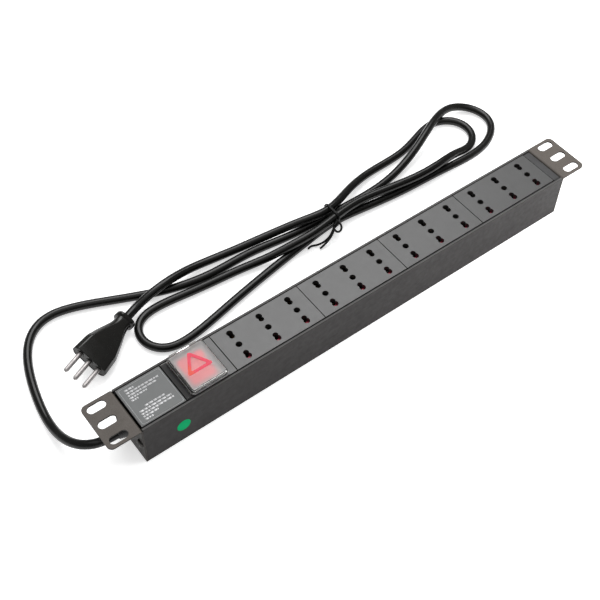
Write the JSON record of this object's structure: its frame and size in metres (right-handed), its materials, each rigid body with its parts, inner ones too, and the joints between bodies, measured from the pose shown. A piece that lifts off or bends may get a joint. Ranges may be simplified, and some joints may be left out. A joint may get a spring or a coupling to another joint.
{
  "type": "rack power strip",
  "caption": "Rack-mount power strip: channel housing with slotted end brackets, three-pin outlet modules, a covered rocker switch, and a looped mains cord with a plug",
  "frame": {"origin": "middle of the housing's bottom face", "axes": "+X along the strip, away from the cord's end; +Y across it, towards the coiled cord; +Z out of the outlets"},
  "size_m": [0.5192, 0.1674, 0.0512],
  "materials": {
    "housing_coat": "satin black anodised aluminium",
    "liner": "matte",
    "bracket_coat": "fine texture powder coat",
    "black_screw": "satin black",
    "dark_plastic": "matte",
    "frame_plastic": "matte texture",
    "pale_plastic": "fine matte texture",
    "module_plastic": "fine matte texture",
    "label": "printed film",
    "green_label": "printed film",
    "clear_cover": "clear moulded",
    "mark_ink": "printed",
    "bright_steel": "bright",
    "rocker_red": "translucent gloss",
    "lamp_glass": "tinted",
    "contact_brass": "satin",
    "sleeve_plastic": "matte",
    "shutter_red": "satin",
    "line_wire": "satin",
    "neutral_wire": "satin",
    "earth_wire": "satin",
    "gland_plastic": "satin",
    "cord_jacket": "satin PVC",
    "tie_plastic": "satin",
    "plug_plastic": "satin PVC",
    "nickel": "nickel plated"
  },
  "bodies": {
    "strip": {"housing": "housing_coat", "base_liner": "liner", "bracket_left": "bracket_coat", "bracket_right": "bracket_coat", "bracket_screws": "black_screw", "end_stop": "dark_plastic", "label_plate": "module_plastic", "label_sticker": "label", "green_dot": "green_label", "switch_frame": "module_plastic", "cover_base": "frame_plastic", "cover_pin": "bright_steel", "switch_case": "pale_plastic", "neon_lamp": "lamp_glass", "switch_terminals": "contact_brass", "terminal_sleeves": "sleeve_plastic", "outlet_face_1": "module_plastic", "outlet_face_2": "module_plastic", "outlet_face_3": "module_plastic", "outlet_face_4": "module_plastic", "outlet_back_1": "dark_plastic", "outlet_back_2": "dark_plastic", "outlet_back_3": "dark_plastic", "outlet_back_4": "dark_plastic", "busbar_line": "contact_brass", "busbar_neutral": "contact_brass", "busbar_earth": "contact_brass", "earth_stud": "bright_steel", "earth_nut": "bright_steel", "earth_ring": "contact_brass", "wire_line_in": "line_wire", "wire_neutral_in": "neutral_wire", "wire_earth_in": "earth_wire", "wire_line_out": "line_wire", "wire_neutral_out": "neutral_wire", "wire_earth_out": "earth_wire", "cord_gland": "gland_plastic", "power_cord": "cord_jacket", "twist_tie": "tie_plastic", "plug_body": "plug_plastic", "plug_pins": "nickel"},
    "cover": {"switch_cover": "clear_cover", "cover_mark": "mark_ink"},
    "rocker_body": {"rocker": "rocker_red"},
    "shutter_1_body": {"shutter_1": "shutter_red"},
    "shutter_2_body": {"shutter_2": "shutter_red"},
    "shutter_3_body": {"shutter_3": "shutter_red"},
    "shutter_4_body": {"shutter_4": "shutter_red"},
    "shutter_5_body": {"shutter_5": "shutter_red"},
    "shutter_6_body": {"shutter_6": "shutter_red"},
    "shutter_7_body": {"shutter_7": "shutter_red"},
    "shutter_8_body": {"shutter_8": "shutter_red"},
    "shutter_9_body": {"shutter_9": "shutter_red"},
    "shutter_10_body": {"shutter_10": "shutter_red"},
    "shutter_11_body": {"shutter_11": "shutter_red"},
    "shutter_12_body": {"shutter_12": "shutter_red"}
  },
  "joints": [
    {"name": "cover_hinge", "type": "hinge", "parent": "strip", "child": "cover", "pos_m": [-0.1538, 0.0201, 0.0465], "axis": [-1, 0, 0], "range_deg": [0, 105]},
    {"name": "rocker_tilt", "type": "hinge", "parent": "strip", "child": "rocker_body", "pos_m": [-0.1538, 0, 0.043], "axis": [-1, 0, 0], "range_deg": [0, 14]},
    {"name": "shutter_1_slide", "type": "slide", "parent": "strip", "child": "shutter_1_body", "axis": [1, 0, 0], "range_m": [0, 0.0064], "stiffness_N_per_m": 60, "springref_m": -0.002},
    {"name": "shutter_2_slide", "type": "slide", "parent": "strip", "child": "shutter_2_body", "axis": [1, 0, 0], "range_m": [0, 0.0064], "stiffness_N_per_m": 60, "springref_m": -0.002},
    {"name": "shutter_3_slide", "type": "slide", "parent": "strip", "child": "shutter_3_body", "axis": [1, 0, 0], "range_m": [0, 0.0064], "stiffness_N_per_m": 60, "springref_m": -0.002},
    {"name": "shutter_4_slide", "type": "slide", "parent": "strip", "child": "shutter_4_body", "axis": [1, 0, 0], "range_m": [0, 0.0064], "stiffness_N_per_m": 60, "springref_m": -0.002},
    {"name": "shutter_5_slide", "type": "slide", "parent": "strip", "child": "shutter_5_body", "axis": [1, 0, 0], "range_m": [0, 0.0064], "stiffness_N_per_m": 60, "springref_m": -0.002},
    {"name": "shutter_6_slide", "type": "slide", "parent": "strip", "child": "shutter_6_body", "axis": [1, 0, 0], "range_m": [0, 0.0064], "stiffness_N_per_m": 60, "springref_m": -0.002},
    {"name": "shutter_7_slide", "type": "slide", "parent": "strip", "child": "shutter_7_body", "axis": [1, 0, 0], "range_m": [0, 0.0064], "stiffness_N_per_m": 60, "springref_m": -0.002},
    {"name": "shutter_8_slide", "type": "slide", "parent": "strip", "child": "shutter_8_body", "axis": [1, 0, 0], "range_m": [0, 0.0064], "stiffness_N_per_m": 60, "springref_m": -0.002},
    {"name": "shutter_9_slide", "type": "slide", "parent": "strip", "child": "shutter_9_body", "axis": [1, 0, 0], "range_m": [0, 0.0064], "stiffness_N_per_m": 60, "springref_m": -0.002},
    {"name": "shutter_10_slide", "type": "slide", "parent": "strip", "child": "shutter_10_body", "axis": [1, 0, 0], "range_m": [0, 0.0064], "stiffness_N_per_m": 60, "springref_m": -0.002},
    {"name": "shutter_11_slide", "type": "slide", "parent": "strip", "child": "shutter_11_body", "axis": [1, 0, 0], "range_m": [0, 0.0064], "stiffness_N_per_m": 60, "springref_m": -0.002},
    {"name": "shutter_12_slide", "type": "slide", "parent": "strip", "child": "shutter_12_body", "axis": [1, 0, 0], "range_m": [0, 0.0064], "stiffness_N_per_m": 60, "springref_m": -0.002}
  ]
}
